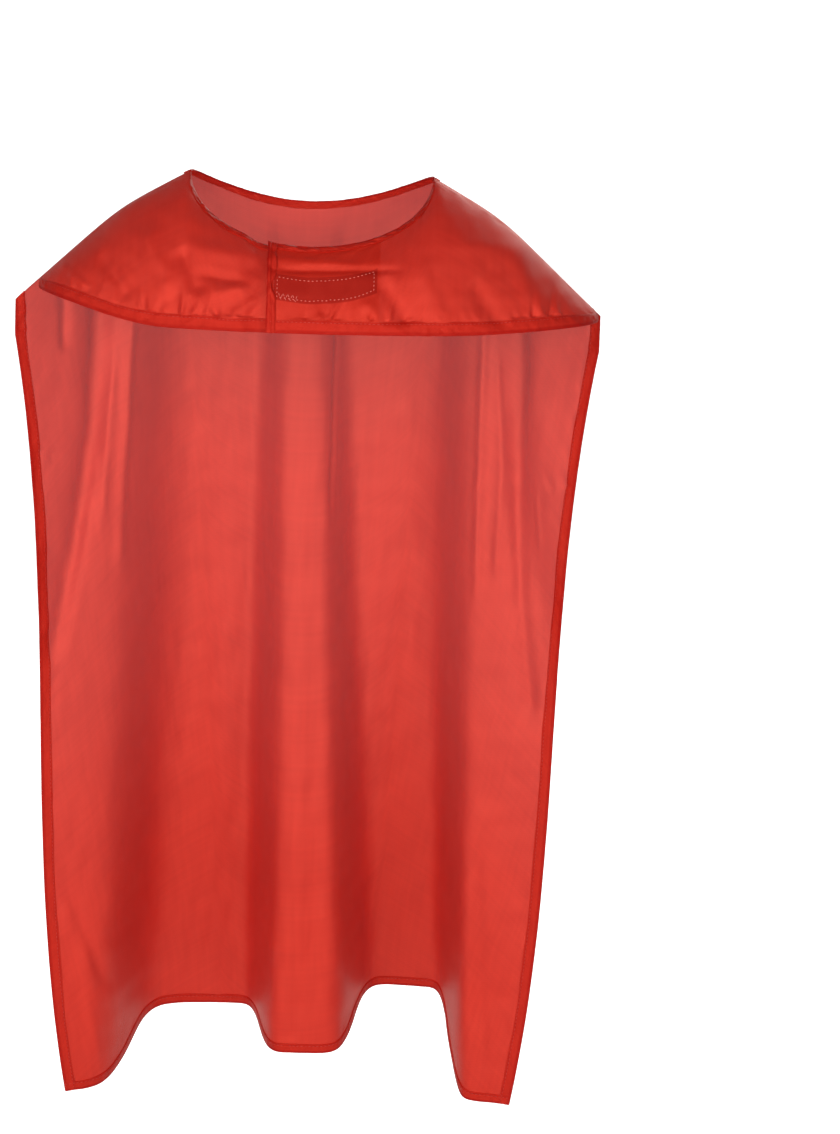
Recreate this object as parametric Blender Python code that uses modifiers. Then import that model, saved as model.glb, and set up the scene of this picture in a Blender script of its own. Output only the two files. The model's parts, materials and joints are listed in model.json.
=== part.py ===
# Superhero cape: one sheer cloth with a round neck opening. It folds forward over the shoulders into two
# short front flaps, which overlap and close with hook and loop tape, and hangs behind as a long folded tail.
#
# Frame, in metres: the origin is the middle of the neck opening, level with its side points.
# +Z is up, the wearer faces -Y, and +X is the wearer's left.

import math

import bmesh
import bpy
import numpy as np

# Neck opening
NECK_HALF = 0.089
NECK_FRONT_REACH = 0.060
NECK_FRONT_DROP = 0.047
NECK_BACK_REACH = 0.055
NECK_BACK_DROP = 0.026

# Shoulder line, from the neck's side point over the ball of the shoulder to the tip
BALL_HALF = 0.140
BALL_ROUND = 0.008
INNER_SLOPE = 0.55
OUTER_SLOPE = 0.93
TIP_HALF = 0.2155

# Front part
FRONT_REACH = 0.090
FRONT_DROP = 0.105
FRONT_RISE = {-1: 0.018, 1: 0.0035}  # the hem's rise towards the wearer's right and left tip
FRONT_RISE_START = 0.100
FRONT_END_INSET = {-1: 0.020, 1: 0.0045}  # from the tip in to where the front hem meets the fold
FRONT_END = {side: TIP_HALF - inset for side, inset in FRONT_END_INSET.items()}
FRONT_END_ROUND = 0.0025  # how far past its end the front's plan curve would close
FLAP_HINGE_INSET = 0.011  # from the neck's side point in to the line where a flap folds
OVER_END = -0.030  # free end of the outer flap, past the middle
UNDER_END = 0.050  # free end of the inner flap
UNDER_RAMP = 0.016  # length over which the inner flap dips behind the outer one

# Back part
SEAM_DROP = 0.125  # level at which the tail starts to swing
BACK_REACH = 0.062
BACK_ROUNDNESS = 2.2  # power of the plan curve round the back: 2 is a parabola, and more is squarer
BACK_FLATTENING = 0.62  # how much of that curve is lost down the tail
TAIL_LEAN = 0.020  # how far back the tail's foot hangs from its top
CORNER_DROP = 0.7205
SIDE_LEVELS = (0.0, 0.36, 0.74, 1.0)
SIDE_HALVES = (TIP_HALF, 0.1965, 0.1900, 0.1730)

# Fold walls of the tail from the wearer's right to the left: direction (1 runs back, -1 runs forward),
# place at the top and at the foot, depth at the top and at the foot, rounding at the top and at the foot,
# and how much the hem rises across the wall
FOLD_WALLS = (
    (1, -0.117, -0.1285, 0.020, 0.088, 0.014, 0.0135, 0.0375),
    (-1, -0.027, -0.0235, 0.022, 0.082, 0.010, 0.0070, -0.0126),
    (1, 0.020, 0.0510, 0.022, 0.082, 0.010, 0.0100, 0.0320),
    (-1, 0.108, 0.1275, 0.020, 0.088, 0.010, 0.0055, -0.0604),
)
SIDE_GROOVE_DEPTH = 0.008
SIDE_GROOVE_TOP = 0.153
SIDE_GROOVE_RUN = 0.047
SIDE_GROOVE_WIDTH = 0.012

# Cloth, hems, tape and thread
CLOTH = 0.0010
HEM = 0.0020
ROLL_RADIUS = 0.0016
SIDE_HEM_WIDTH = 0.0085
FRONT_HEM_WIDTH = 0.0095
BOTTOM_HEM_WIDTH = 0.0070
TAPE_LENGTH = 0.073
TAPE_WIDTH = 0.019
TAPE_THICKNESS = 0.0009
TAPE_START = -0.025
TAPE_DROP = 0.0364  # from the neck edge to the tape's middle line, along the cloth
TAPE_TILT = 0.025
TAPE_EDGE = 0.0020  # from the tape's edge in to its stitching
THREAD_RADIUS = 0.00035
THREAD_INSET = 0.0015  # from a hem's inner edge to its stitching
GAP = 0.0005  # between pieces that are sewn edge to edge
FACE_GAP = 0.0003  # between pieces that lie on each other
HINGE_CLEARANCE = 0.0005
NECK_COLUMN_INSET = 0.0012  # the first cloth column beside the neck's side point
LEAST_CLOTH = 0.0015  # the least cloth left above the front hem at its ends
TIP_CLEAR_RUN = 0.020  # how far inside the tip's hem the front's cloth starts to drop clear of it
THREAD_TOP = 0.004  # share of the tail's height at which its stitching starts

SAMPLES = 400
TAIL_ROWS = 12
TAIL_COLUMNS = 62
FRONT_ROWS = 7
FLAP_COLUMNS = 17
TAPE_COLUMNS = 13
PROBE = 0.002  # step for measuring a surface's direction


def smooth(t):
    t = np.clip(t, 0.0, 1.0)
    return t * t * (3 - 2 * t)


# ---- shape of the cloth ----

def ridge_height(x):
    def bend(at):
        return BALL_ROUND * math.log1p(math.exp((at - BALL_HALF) / BALL_ROUND))

    x = abs(x)
    return -INNER_SLOPE * (x - NECK_HALF) - (OUTER_SLOPE - INNER_SLOPE) * (bend(x) - bend(NECK_HALF))


def neck_share(x):
    return math.sqrt(max(0.0, 1 - (x / NECK_HALF) ** 2))


def half_width(level):
    return float(np.polyval(np.polyfit(SIDE_LEVELS, SIDE_HALVES, 3), level))


def tail_section(level):
    """The tail's plan outline at a level from 0, its top, to 1, its hem: x and y."""
    half = half_width(level)
    x = np.linspace(-half, half, SAMPLES)
    arc = 1 - np.abs(x / half) ** BACK_ROUNDNESS
    y = BACK_REACH * arc * (1 - BACK_FLATTENING * smooth(level * 1.25)) + TAIL_LEAN * smooth(level)
    for turn, top, foot, top_depth, foot_depth, top_round, foot_round, _ in FOLD_WALLS:
        at = top + (foot - top) * level
        depth = top_depth + (foot_depth - top_depth) * level ** 0.9
        soft = top_round + (foot_round - top_round) * level
        y = y + turn * depth * 0.5 * (np.tanh((x - at) / soft) - math.tanh((-half - at) / soft))
    for side in (-1, 1):
        at = side * (SIDE_GROOVE_TOP + SIDE_GROOVE_RUN * smooth(level * 1.7))
        y = y + SIDE_GROOVE_DEPTH * (1 - smooth(level * 1.6)) * np.exp(-(((x - at) / SIDE_GROOVE_WIDTH) ** 2))
    return x, y


def hem_height(x):
    z = -CORNER_DROP
    for _, _, foot, _, _, _, foot_round, rise in FOLD_WALLS:
        z += rise * 0.5 * (1 + math.tanh((x - foot) / foot_round))
    return z


def section_arc(level):
    x, y = tail_section(level)
    run = np.concatenate([[0], np.cumsum(np.hypot(np.diff(x), np.diff(y)))])
    return x, y, run


def tail_point(column, level):
    """A point of the tail's cloth: column is the share of the width, from the wearer's right to the left."""
    x, y, run = section_arc(level)
    x = float(np.interp(column * run[-1], run, x))
    y = float(np.interp(column * run[-1], run, y))
    hem_x, _, hem_run = section_arc(1.0)
    foot = hem_height(float(np.interp(column * hem_run[-1], hem_run, hem_x)))
    return np.array([x, y, -SEAM_DROP + (foot + SEAM_DROP) * level])


def bezier(points, count=24):
    t = np.linspace(0, 1, count)[:, None]
    a, b, c, d = (np.array(point, float) for point in points)
    return (1 - t) ** 3 * a + 3 * (1 - t) ** 2 * t * b + 3 * (1 - t) * t * t * c + t ** 3 * d


def along(curve, distance):
    run = np.concatenate([[0], np.cumsum(np.linalg.norm(np.diff(curve, axis=0), axis=1))])
    return np.array([np.interp(distance, run, curve[:, axis]) for axis in range(3)])


def length_of(curve):
    return float(np.linalg.norm(np.diff(curve, axis=0), axis=1).sum())


def neck_side(x):
    return 0 if abs(x) < NECK_HALF else ridge_height(x)


def neck_edge_back(x):
    share = neck_share(x)
    return np.array([x, NECK_BACK_REACH * share, neck_side(x) - NECK_BACK_DROP * share ** 2])


def neck_edge_front(x):
    share = neck_share(x)
    return np.array([x, -NECK_FRONT_REACH * share, neck_side(x) - NECK_FRONT_DROP * share])


def neck_start(curve, edge):
    """How far down its column the cloth starts, to stand clear of the rolled neck edge."""
    clear = ROLL_RADIUS + 2 * GAP + CLOTH / 2
    around = [NECK_HALF * math.cos(math.pi * i / 120) for i in range(121)]
    rim = np.array([edge(x) for x in around])
    distance = GAP
    while np.linalg.norm(rim - along(curve, distance), axis=1).min() < clear:
        distance += FACE_GAP
    return distance


def yoke_column(x):
    """The back's cloth above the tail at one x, from the shoulder fold or the neck's edge down."""
    share = neck_share(x)
    top = neck_edge_back(x)
    section_x, section_y = tail_section(0.0)
    foot = (x, float(np.interp(x, section_x, section_y)), -SEAM_DROP)
    out, down = foot[1] - top[1], top[2] - foot[2]
    first = (x, top[1] + 0.6 * out, top[2] - 0.35 * down * share)
    second = (x, foot[1], foot[2] + 0.45 * down)
    return bezier((top, first, second, foot))


def front_column(x):
    """The front's cloth at one x, from the shoulder fold or the neck's edge down to the front hem."""
    side = -1 if x < 0 else 1
    share = neck_share(x)
    top = neck_edge_front(x)
    round_front = math.sqrt(max(0.0, 1 - (x / (FRONT_END[side] + FRONT_END_ROUND)) ** 2))
    spread = (abs(x) - FRONT_RISE_START) / (TIP_HALF - FRONT_RISE_START)
    foot = (x, -FRONT_REACH * round_front, -FRONT_DROP + FRONT_RISE[side] * float(smooth(spread)))
    out, down = foot[1] - top[1], top[2] - foot[2]
    first = (x, top[1] + 0.50 * out, top[2] - (0.06 + 0.16 * share) * down)
    second = (x, foot[1] - 0.08 * out, foot[2] + 0.42 * down)
    return bezier((top, first, second, foot))


def front_point(x, distance, lift=0.0):
    """A point of the front's cloth, its distance down from the top edge, lifted off the face by lift."""
    curve = front_column(x)
    distance = min(max(distance, 0.0), length_of(curve))
    low = along(curve, max(distance - PROBE, 0))
    high = along(curve, min(distance + PROBE, length_of(curve)))
    run = (high - low) / np.linalg.norm(high - low)
    return along(curve, distance) + lift * np.array([0, run[2], -run[1]])


def under_lift(x):
    """The inner flap lies this far behind the outer one where they overlap."""
    depth = CLOTH + 2 * TAPE_THICKNESS + 5 * FACE_GAP
    return -depth * float(smooth((x - (OVER_END - 3 * ROLL_RADIUS - UNDER_RAMP)) / UNDER_RAMP))


# ---- making solids ----

def make_material(name, color, roughness):
    material = bpy.data.materials.new(name)
    material.use_nodes = True
    shader = material.node_tree.nodes["Principled BSDF"]
    shader.inputs["Base Color"].default_value = (*color, 1)
    shader.inputs["Roughness"].default_value = roughness
    shader.inputs["Metallic"].default_value = 0.0
    return material


def place(obj, material, pivot):
    """Puts the object in the parts' collection, parented to the empty on its joint's axis."""
    parts.objects.link(obj)
    obj.data.materials.append(material)
    obj.parent = pivot
    obj.matrix_parent_inverse.identity()
    return obj


def cloth_panel(name, columns, rows, point, thickness, material, pivot):
    """A grid laid on the cloth's shape and given its thickness. point takes a column and a row."""
    mesh = bpy.data.meshes.new(name)
    bm = bmesh.new()
    bmesh.ops.create_grid(bm, x_segments=len(columns) - 1, y_segments=len(rows) - 1, size=1)
    for vert in bm.verts:
        column = round((vert.co.x + 1) / 2 * (len(columns) - 1))
        row = round((vert.co.y + 1) / 2 * (len(rows) - 1))
        vert.co = point(columns[column], rows[row]) - np.array(pivot.location)
    bm.to_mesh(mesh)
    bm.free()
    mesh.shade_smooth()
    obj = bpy.data.objects.new(name, mesh)
    solid = obj.modifiers.new("thickness", "SOLIDIFY")
    solid.thickness = thickness
    solid.offset = 0
    return place(obj, material, pivot)


def round_roll(name, points, radius, material, pivot, closed=False, resolution=1):
    """A rolled edge or a thread: a thin tube through the points."""
    curve = bpy.data.curves.new(name, "CURVE")
    curve.dimensions = "3D"
    curve.bevel_depth = radius
    curve.bevel_resolution = resolution
    curve.use_fill_caps = True
    spline = curve.splines.new("POLY")
    spline.points.add(len(points) - 1)
    spline.use_cyclic_u = closed
    for target, point in zip(spline.points, points):
        target.co = (*(np.array(point) - np.array(pivot.location)), 1)
    return place(bpy.data.objects.new(name, curve), material, pivot)


def pivot_at(name, location):
    pivot = bpy.data.objects.new(name, None)
    pivot.location = location
    pivot.empty_display_size = 0.03
    parts.objects.link(pivot)
    return pivot


def spread(start, end, count):
    return list(np.linspace(start, end, count))


def eased(start, end, count):
    """Columns that close up towards both ends."""
    return [start + (end - start) * (1 - math.cos(math.pi * i / (count - 1))) / 2 for i in range(count)]


# ---- hinge lines ----

def hinge_x():
    return NECK_HALF - FLAP_HINGE_INSET


def flap_axis(side):
    """A point and a direction: a straight line just outside the curved fold, so a flap swings clear of it."""
    curve = front_column(side * hinge_x())
    run = curve[-1] - curve[0]
    run = run / np.linalg.norm(run)
    out = np.array([0, run[2], -run[1]])
    reach = max(float((point - curve[0]) @ out) for point in curve)
    middle = (curve[0] + curve[-1]) / 2
    on_line = middle + out * (reach - float((middle - curve[0]) @ out) + ROLL_RADIUS + HINGE_CLEARANCE)
    return on_line, -run


def tail_axis():
    _, y = tail_section(0.0)
    return np.array([0, float(y.max()) + HEM / 2 + HINGE_CLEARANCE, -SEAM_DROP])


# ---- shoulders: the part that rests on the wearer ----

def yoke_columns():
    neck = NECK_HALF + ROLL_RADIUS + GAP + FACE_GAP
    inner = TIP_HALF - SIDE_HEM_WIDTH - GAP
    shoulder = spread(neck, BALL_HALF, 5)[:-1] + spread(BALL_HALF, inner, 8)
    middle = eased(-NECK_HALF + NECK_COLUMN_INSET, NECK_HALF - NECK_COLUMN_INSET, 23)
    return [-x for x in reversed(shoulder)] + middle + shoulder


def yoke_point(x, share):
    curve = yoke_column(x)
    start = neck_start(curve, neck_edge_back)
    end = length_of(curve) - GAP / 2
    return along(curve, start + (end - start) * share)


def make_yoke(pivot):
    material = make_material("yoke_cloth", (0.66, 0.06, 0.035), 0.45)
    cloth_panel("back_yoke", yoke_columns(), spread(0, 1, FRONT_ROWS), yoke_point, CLOTH, material, pivot)


def tip_hem_point(side):
    def point(width, share):
        curve = yoke_column(side * (TIP_HALF - width))
        end = length_of(curve) - GAP / 2
        return along(curve, GAP + (end - GAP) * share)

    return point


def tip_clear(x):
    """How much lower the front's cloth starts near the tip, to stand clear of the thicker hem there."""
    inside = TIP_HALF - SIDE_HEM_WIDTH - abs(x)
    return (HEM + CLOTH) / 2 * float(smooth(1 - inside / TIP_CLEAR_RUN))


def front_cloth_point(lift=lambda x: 0.0):
    def point(x, share):
        curve = front_column(x)
        start = max(neck_start(curve, neck_edge_front), GAP + tip_clear(x))
        end = length_of(curve) - FRONT_HEM_WIDTH - GAP
        return front_point(x, start + max(end - start, 0.001) * share, lift(x))

    return point


def front_hem_point(lift=lambda x: 0.0):
    def point(x, share):
        end = length_of(front_column(x))
        return front_point(x, end - FRONT_HEM_WIDTH * (1 - share), lift(x))

    return point


def front_normal(x, distance, lift):
    left, right = x - PROBE, x + PROBE
    across = front_point(right, distance, lift(right)) - front_point(left, distance, lift(left))
    down = front_point(x, distance, lift(x)) - front_point(x, distance - PROBE, lift(x))
    normal = np.cross(down, across)
    normal = normal / np.linalg.norm(normal)
    return normal if normal[1] < 0 else -normal


def front_hem_thread(x, lift, above):
    """A point of the stitching along the front hem's upper edge, above the hem's face or, negative, below it."""
    distance = length_of(front_column(x)) - FRONT_HEM_WIDTH + THREAD_INSET
    return front_point(x, distance, lift(x)) + above * front_normal(x, distance, lift)


def shoulder_end(side):
    """The last x at which the front is deep enough to hold its hem and some cloth above it."""
    x = FRONT_END[side]
    least = FRONT_HEM_WIDTH + 2 * GAP + LEAST_CLOTH
    while length_of(front_column(side * x)) < least + tip_clear(x) and x > hinge_x():
        x -= 0.001
    return x


def make_front_shoulder(side, word, pivot):
    material = make_material(word + "_front_cloth", (0.62, 0.045, 0.028), 0.45)
    hem = make_material(word + "_front_hem_cloth", (0.54, 0.028, 0.016), 0.5)
    thread = make_material(word + "_front_thread", (0.60, 0.05, 0.04), 0.6)
    start = hinge_x() + GAP / 2
    neck = NECK_HALF + ROLL_RADIUS + GAP + FACE_GAP
    end = shoulder_end(side)
    inner = spread(start, NECK_HALF - NECK_COLUMN_INSET, 3) + spread(neck, end, 10)
    columns = [side * x for x in inner]
    rows = spread(0, 1, FRONT_ROWS)
    cloth_panel(word + "_front_shoulder", columns, rows, front_cloth_point(), CLOTH, material, pivot)
    cloth_panel(word + "_shoulder_hem", columns, spread(0, 1, 3), front_hem_point(), HEM, hem, pivot)
    tip = spread(0, SIDE_HEM_WIDTH, 3)
    cloth_panel(word + "_tip_hem", tip, spread(0, 1, 4), tip_hem_point(side), HEM, hem, pivot)
    above = HEM / 2 + 2 * FACE_GAP + THREAD_RADIUS
    path = [front_hem_thread(x, lambda x: 0.0, above) for x in columns[:-1]]
    round_roll(word + "_shoulder_hem_thread", path, THREAD_RADIUS, thread, pivot)


def make_neck_roll(pivot):
    material = make_material("neck_roll_cloth", (0.52, 0.025, 0.014), 0.5)
    hinge = hinge_x() + ROLL_RADIUS
    limit = math.acos(hinge / NECK_HALF)
    front = [NECK_HALF * math.cos(limit * (1 - i / 5)) for i in range(6)]
    back = [NECK_HALF * math.cos(math.pi * i / 26) for i in range(1, 26)]
    points = [front_point(x, 0.0) for x in front]
    points += [yoke_column(x)[0] for x in back]
    points += [front_point(-x, 0.0) for x in reversed(front)]
    round_roll("neck_rolled_edge", points, ROLL_RADIUS, material, pivot, resolution=2)


# ---- tail ----

def level_of(column, distance):
    """The level that lies a distance above the hem in one column."""
    return 1 - distance / (-SEAM_DROP - tail_point(column, 1.0)[2])


def side_share(width):
    """A width from the cloth's side edge, as a share of the tail's width at its top."""
    return width / section_arc(0.0)[2][-1]


def tail_cloth_point(column, share):
    top = GAP / 2 / (CORNER_DROP - SEAM_DROP)
    end = level_of(column, BOTTOM_HEM_WIDTH + GAP)
    return tail_point(column, top + (end - top) * share)


def bottom_hem_point(column, share):
    return tail_point(column, level_of(column, BOTTOM_HEM_WIDTH * (1 - share)))


def tail_columns(start, end):
    """Columns that close up where the fold walls stand, so that the walls stay smooth."""
    x, _, run = section_arc(1.0)
    weight = np.ones(len(x))
    for wall in FOLD_WALLS:
        weight = weight + 1.2 * np.exp(-(((x - wall[2]) / 0.020) ** 2))
    total = np.concatenate([[0], np.cumsum(weight[1:] * np.diff(run))])
    share = run / run[-1]
    low, high = np.interp([start, end], share, total)
    return list(np.interp(np.linspace(low, high, TAIL_COLUMNS), total, share))


def make_tail(pivot):
    cloth = make_material("tail_cloth", (0.62, 0.05, 0.03), 0.45)
    hem = make_material("tail_hem_cloth", (0.52, 0.025, 0.014), 0.5)
    thread = make_material("tail_thread", (0.58, 0.05, 0.04), 0.6)
    edge = side_share(SIDE_HEM_WIDTH)
    gap = side_share(GAP)
    columns = tail_columns(edge + gap, 1 - edge - gap)
    rows = spread(0, 1, TAIL_ROWS)
    cloth_panel("tail_panel", columns, rows, tail_cloth_point, CLOTH, cloth, pivot)
    cloth_panel("bottom_hem", columns, spread(0, 1, 2), bottom_hem_point, HEM, hem, pivot)
    for side, word in ((-1, "right"), (1, "left")):
        def point(width, share):
            column = width if side < 0 else 1 - width
            top = GAP / 2 / (CORNER_DROP - SEAM_DROP)
            return tail_point(column, top + (1 - top) * share)

        cloth_panel(word + "_side_hem", spread(0, edge, 3), rows, point, HEM, hem, pivot)
    path = tail_thread_path(edge, columns)
    round_roll("tail_hem_thread", path, THREAD_RADIUS, thread, pivot)


def tail_normal(column, level):
    step = 2 * PROBE
    across = tail_point(min(column + step, 1), level) - tail_point(max(column - step, 0), level)
    down = tail_point(column, min(level + step, 1)) - tail_point(column, max(level - step, 0))
    normal = np.cross(across, down)
    normal = normal / np.linalg.norm(normal)
    return normal if normal[1] > 0 else -normal


def tail_thread_path(edge, columns):
    """Down one side hem, along the bottom hem and up the other, on the wearer's side of the cloth."""
    above = HEM / 2 + FACE_GAP * 2 + THREAD_RADIUS
    inset = edge - side_share(THREAD_INSET)
    foot = BOTTOM_HEM_WIDTH - THREAD_INSET
    route = [(inset, level) for level in spread(THREAD_TOP, level_of(inset, foot), TAIL_ROWS)]
    route += [(column, level_of(column, foot)) for column in columns]
    route += [(1 - inset, level) for level in spread(level_of(1 - inset, foot), THREAD_TOP, TAIL_ROWS)]
    return [tail_point(*at) - above * tail_normal(*at) for at in route]


# ---- front flaps ----

def tape_point(lift):
    def point(x, share):
        middle = TAPE_DROP + TAPE_TILT * x
        return front_point(x, middle + TAPE_WIDTH * (share - 0.5), lift(x))

    return point


def tape_thread(lift):
    """A closed line of stitching just inside the tape's edge."""
    start, end = TAPE_START + TAPE_EDGE, TAPE_START + TAPE_LENGTH - TAPE_EDGE
    low, high = TAPE_EDGE / TAPE_WIDTH, 1 - TAPE_EDGE / TAPE_WIDTH
    point = tape_point(lift)
    points = [point(x, low) for x in spread(start, end, TAPE_COLUMNS)]
    points += [point(end, share) for share in spread(low, high, 4)[1:-1]]
    points += [point(x, high) for x in spread(end, start, TAPE_COLUMNS)]
    points += [point(start, share) for share in spread(high, low, 4)[1:-1]]
    return points


def make_flap(word, side, end, lift, pivot):
    """A flap from its hinge line at one side of the neck to its free end past the middle."""
    cloth = make_material(word + "_cloth", (0.60, 0.04, 0.026), 0.45)
    hem = make_material(word + "_hem_cloth", (0.52, 0.025, 0.014), 0.5)
    thread = make_material(word + "_thread", (0.66, 0.10, 0.08), 0.6)
    inner = -side
    start = side * (hinge_x() - GAP / 2)
    clear = ROLL_RADIUS + GAP + CLOTH / 2
    columns = spread(start, end - inner * clear, FLAP_COLUMNS)
    hems = spread(start, end + inner * ROLL_RADIUS, FLAP_COLUMNS)
    rows = spread(0, 1, FRONT_ROWS)
    cloth_panel(word + "_cloth", columns, rows, front_cloth_point(lift), CLOTH, cloth, pivot)
    cloth_panel(word + "_front_hem", hems, spread(0, 1, 3), front_hem_point(lift), HEM, hem, pivot)
    roll_start, roll_end = side * (hinge_x() - ROLL_RADIUS), end - inner * 2.5 * ROLL_RADIUS
    neck = [front_point(x, 0.0, lift(x)) for x in spread(roll_start, roll_end, FLAP_COLUMNS)]
    round_roll(word + "_neck_roll", neck, ROLL_RADIUS, hem, pivot, resolution=2)
    stop = length_of(front_column(end)) - FRONT_HEM_WIDTH - GAP - HEM / 2
    edge = [front_point(end, distance, lift(end)) for distance in spread(-ROLL_RADIUS, stop, 9)]
    round_roll(word + "_end_roll", edge, ROLL_RADIUS, hem, pivot, resolution=2)
    above = (HEM / 2 + FACE_GAP + THREAD_RADIUS) * (1 if word == "over_flap" else -1)
    path = [front_hem_thread(x, lift, above) for x in hems]
    round_roll(word + "_hem_thread", path, THREAD_RADIUS, thread, pivot)


def make_tapes(over, under):
    hook = make_material("hook_tape", (0.42, 0.012, 0.010), 0.85)
    loop = make_material("loop_tape", (0.45, 0.018, 0.014), 0.95)
    thread = make_material("tape_thread", (0.72, 0.14, 0.11), 0.6)
    columns = spread(TAPE_START, TAPE_START + TAPE_LENGTH, TAPE_COLUMNS)
    rows = spread(0, 1, 4)
    hook_lift = CLOTH / 2 + FACE_GAP + TAPE_THICKNESS / 2
    loop_lift = hook_lift + FACE_GAP + TAPE_THICKNESS
    stitch_lift = CLOTH / 2 + FACE_GAP + THREAD_RADIUS
    cloth_panel("hook_tape", columns, rows, tape_point(lambda x: -hook_lift), TAPE_THICKNESS, hook, over)
    cloth_panel("loop_tape", columns, rows, tape_point(lambda x: -loop_lift), TAPE_THICKNESS, loop, under)
    over_path = tape_thread(lambda x: stitch_lift)
    under_path = tape_thread(lambda x: under_lift(x) - stitch_lift)
    round_roll("hook_tape_thread", over_path, THREAD_RADIUS, thread, over, closed=True)
    round_roll("loop_tape_thread", under_path, THREAD_RADIUS, thread, under, closed=True)


# ---- the whole cape ----

def make_cape():
    shoulders = pivot_at("shoulders_frame", (0, 0, 0))
    tail = pivot_at("tail_axis", tail_axis())
    over = pivot_at("over_flap_axis", flap_axis(1)[0])
    under = pivot_at("under_flap_axis", flap_axis(-1)[0])
    make_yoke(shoulders)
    make_front_shoulder(-1, "right", shoulders)
    make_front_shoulder(1, "left", shoulders)
    make_neck_roll(shoulders)
    make_tail(tail)
    make_flap("over_flap", 1, OVER_END, lambda x: 0.0, over)
    make_flap("under_flap", -1, UNDER_END, under_lift, under)
    make_tapes(over, under)
    print("tail axis point", tail_axis().round(5))
    for side in (1, -1):
        point, direction = flap_axis(side)
        print("flap axis", side, point.round(5), direction.round(5))


for old in list(bpy.data.objects):
    bpy.data.objects.remove(old)
parts = bpy.data.collections.new("superhero_cape")
bpy.context.scene.collection.children.link(parts)
make_cape()
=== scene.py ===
# Superhero cape, the looks: sheer satin sheets, doubled hems, rolled neck edge, closure tapes and stitches.
# Metres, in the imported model's frame: +Z is up, the wearer faces -Y and +X is the wearer's left.

import json
import math

import bpy
import numpy as np
from mathutils import Matrix, Vector
from mathutils.bvhtree import BVHTree


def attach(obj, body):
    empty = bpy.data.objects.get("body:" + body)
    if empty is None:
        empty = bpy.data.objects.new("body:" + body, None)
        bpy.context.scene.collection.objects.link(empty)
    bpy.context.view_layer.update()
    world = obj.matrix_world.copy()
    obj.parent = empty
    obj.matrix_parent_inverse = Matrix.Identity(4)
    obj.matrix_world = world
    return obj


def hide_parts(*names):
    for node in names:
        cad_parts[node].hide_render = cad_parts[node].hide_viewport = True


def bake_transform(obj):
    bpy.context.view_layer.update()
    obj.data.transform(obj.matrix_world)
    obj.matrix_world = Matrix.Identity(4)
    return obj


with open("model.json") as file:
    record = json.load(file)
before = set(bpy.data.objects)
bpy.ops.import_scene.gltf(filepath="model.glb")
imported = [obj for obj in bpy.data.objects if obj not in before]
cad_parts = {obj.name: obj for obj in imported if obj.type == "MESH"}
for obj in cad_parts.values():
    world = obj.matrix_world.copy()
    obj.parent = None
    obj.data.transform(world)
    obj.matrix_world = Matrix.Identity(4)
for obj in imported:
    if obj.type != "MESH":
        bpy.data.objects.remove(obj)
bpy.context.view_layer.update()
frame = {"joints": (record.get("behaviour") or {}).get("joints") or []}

joints = {joint["name"]: joint for joint in frame["joints"]}
swingLevel = joints["tail_swing"]["pos_m"][2]
flapFold = joints["over_flap_opening"]["pos_m"][0]


def smooth(t):
    t = np.clip(t, 0.0, 1.0)
    return t * t * (3 - 2 * t)


def unit(vectors):
    return vectors / np.maximum(np.linalg.norm(vectors, axis=-1, keepdims=True), 1e-12)


cameraView = {
    "distance": 2.6,
    "pitch": 12.0,
    "roll": 1.95,
    "aim": (0.0885, 0.0, -0.2917),
    "seenHeight": 0.8505,  # what the view takes in, at the aim's distance
    "sensor": 36.0,
}


def makeCamera():
    pitch, roll = math.radians(cameraView["pitch"]), math.radians(cameraView["roll"])
    aim = Vector(cameraView["aim"])
    place = Vector((0, -math.cos(pitch), math.sin(pitch))) * cameraView["distance"] + Vector((0, 0, aim.z))
    look = (aim - place).normalized()
    across = look.cross(Vector((0, 0, 1))).normalized()
    up = across.cross(look)
    turned = across * math.cos(roll) + up * math.sin(roll)
    upright = up * math.cos(roll) - across * math.sin(roll)
    bpy.ops.object.camera_add(location=place)
    camera = bpy.context.object
    camera.name = "camera"
    camera.matrix_world = Matrix.Translation(place) @ Matrix((turned, upright, -look)).transposed().to_4x4()
    camera.data.sensor_width = cameraView["sensor"]
    camera.data.lens = cameraView["sensor"] * (aim - place).length / cameraView["seenHeight"]
    bpy.context.scene.camera = camera


makeCamera()
print("camera ready")


class Wire:
    # one output in a shader tree: maths on it adds Math nodes
    def __init__(self, tree, socket=None):
        self.tree = tree
        self.socket = socket

    def node(self, kind, settings={}, sockets={}, output=0):
        made = self.tree.nodes.new(kind)
        for name, value in settings.items():
            setattr(made, name, value)
        for name, value in sockets.items():
            if isinstance(value, Wire):
                self.tree.links.new(value.socket, made.inputs[name])
            else:
                made.inputs[name].default_value = value
        return Wire(self.tree, made.outputs[output])

    def maths(self, operation, first, second=0.0, third=0.0):
        return self.node("ShaderNodeMath", {"operation": operation}, {0: first, 1: second, 2: third})

    def __add__(self, other):
        return self.maths("ADD", self, other)

    def __sub__(self, other):
        return self.maths("SUBTRACT", self, other)

    def __rsub__(self, other):
        return self.maths("SUBTRACT", other, self)

    def __mul__(self, other):
        return self.maths("MULTIPLY", self, other)

    __radd__ = __add__
    __rmul__ = __mul__

    def sine(self):
        return self.maths("SINE", self)

    def ramp(self, low, high):
        # 0 below low, 1 above high, with soft ends
        return self.node("ShaderNodeMapRange", {"interpolation_type": "SMOOTHSTEP"},
                         {"Value": self, "From Min": low, "From Max": high})

    def mixColors(self, low, high):
        return self.node("ShaderNodeMix", {"data_type": "RGBA"}, {0: self, 6: low, 7: high}, 2)


def newMaterial(name):
    material = bpy.data.materials.new(name)
    material.use_nodes = True
    tree = material.node_tree
    return material, tree.nodes["Principled BSDF"].inputs, Wire(tree)


def link(wire, socket):
    wire.tree.links.new(wire.socket, socket)


def rgba(color):
    return (*color, 1.0)


seamHalf = 0.0009  # half the width of the darker line under a hem's stitches


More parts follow.
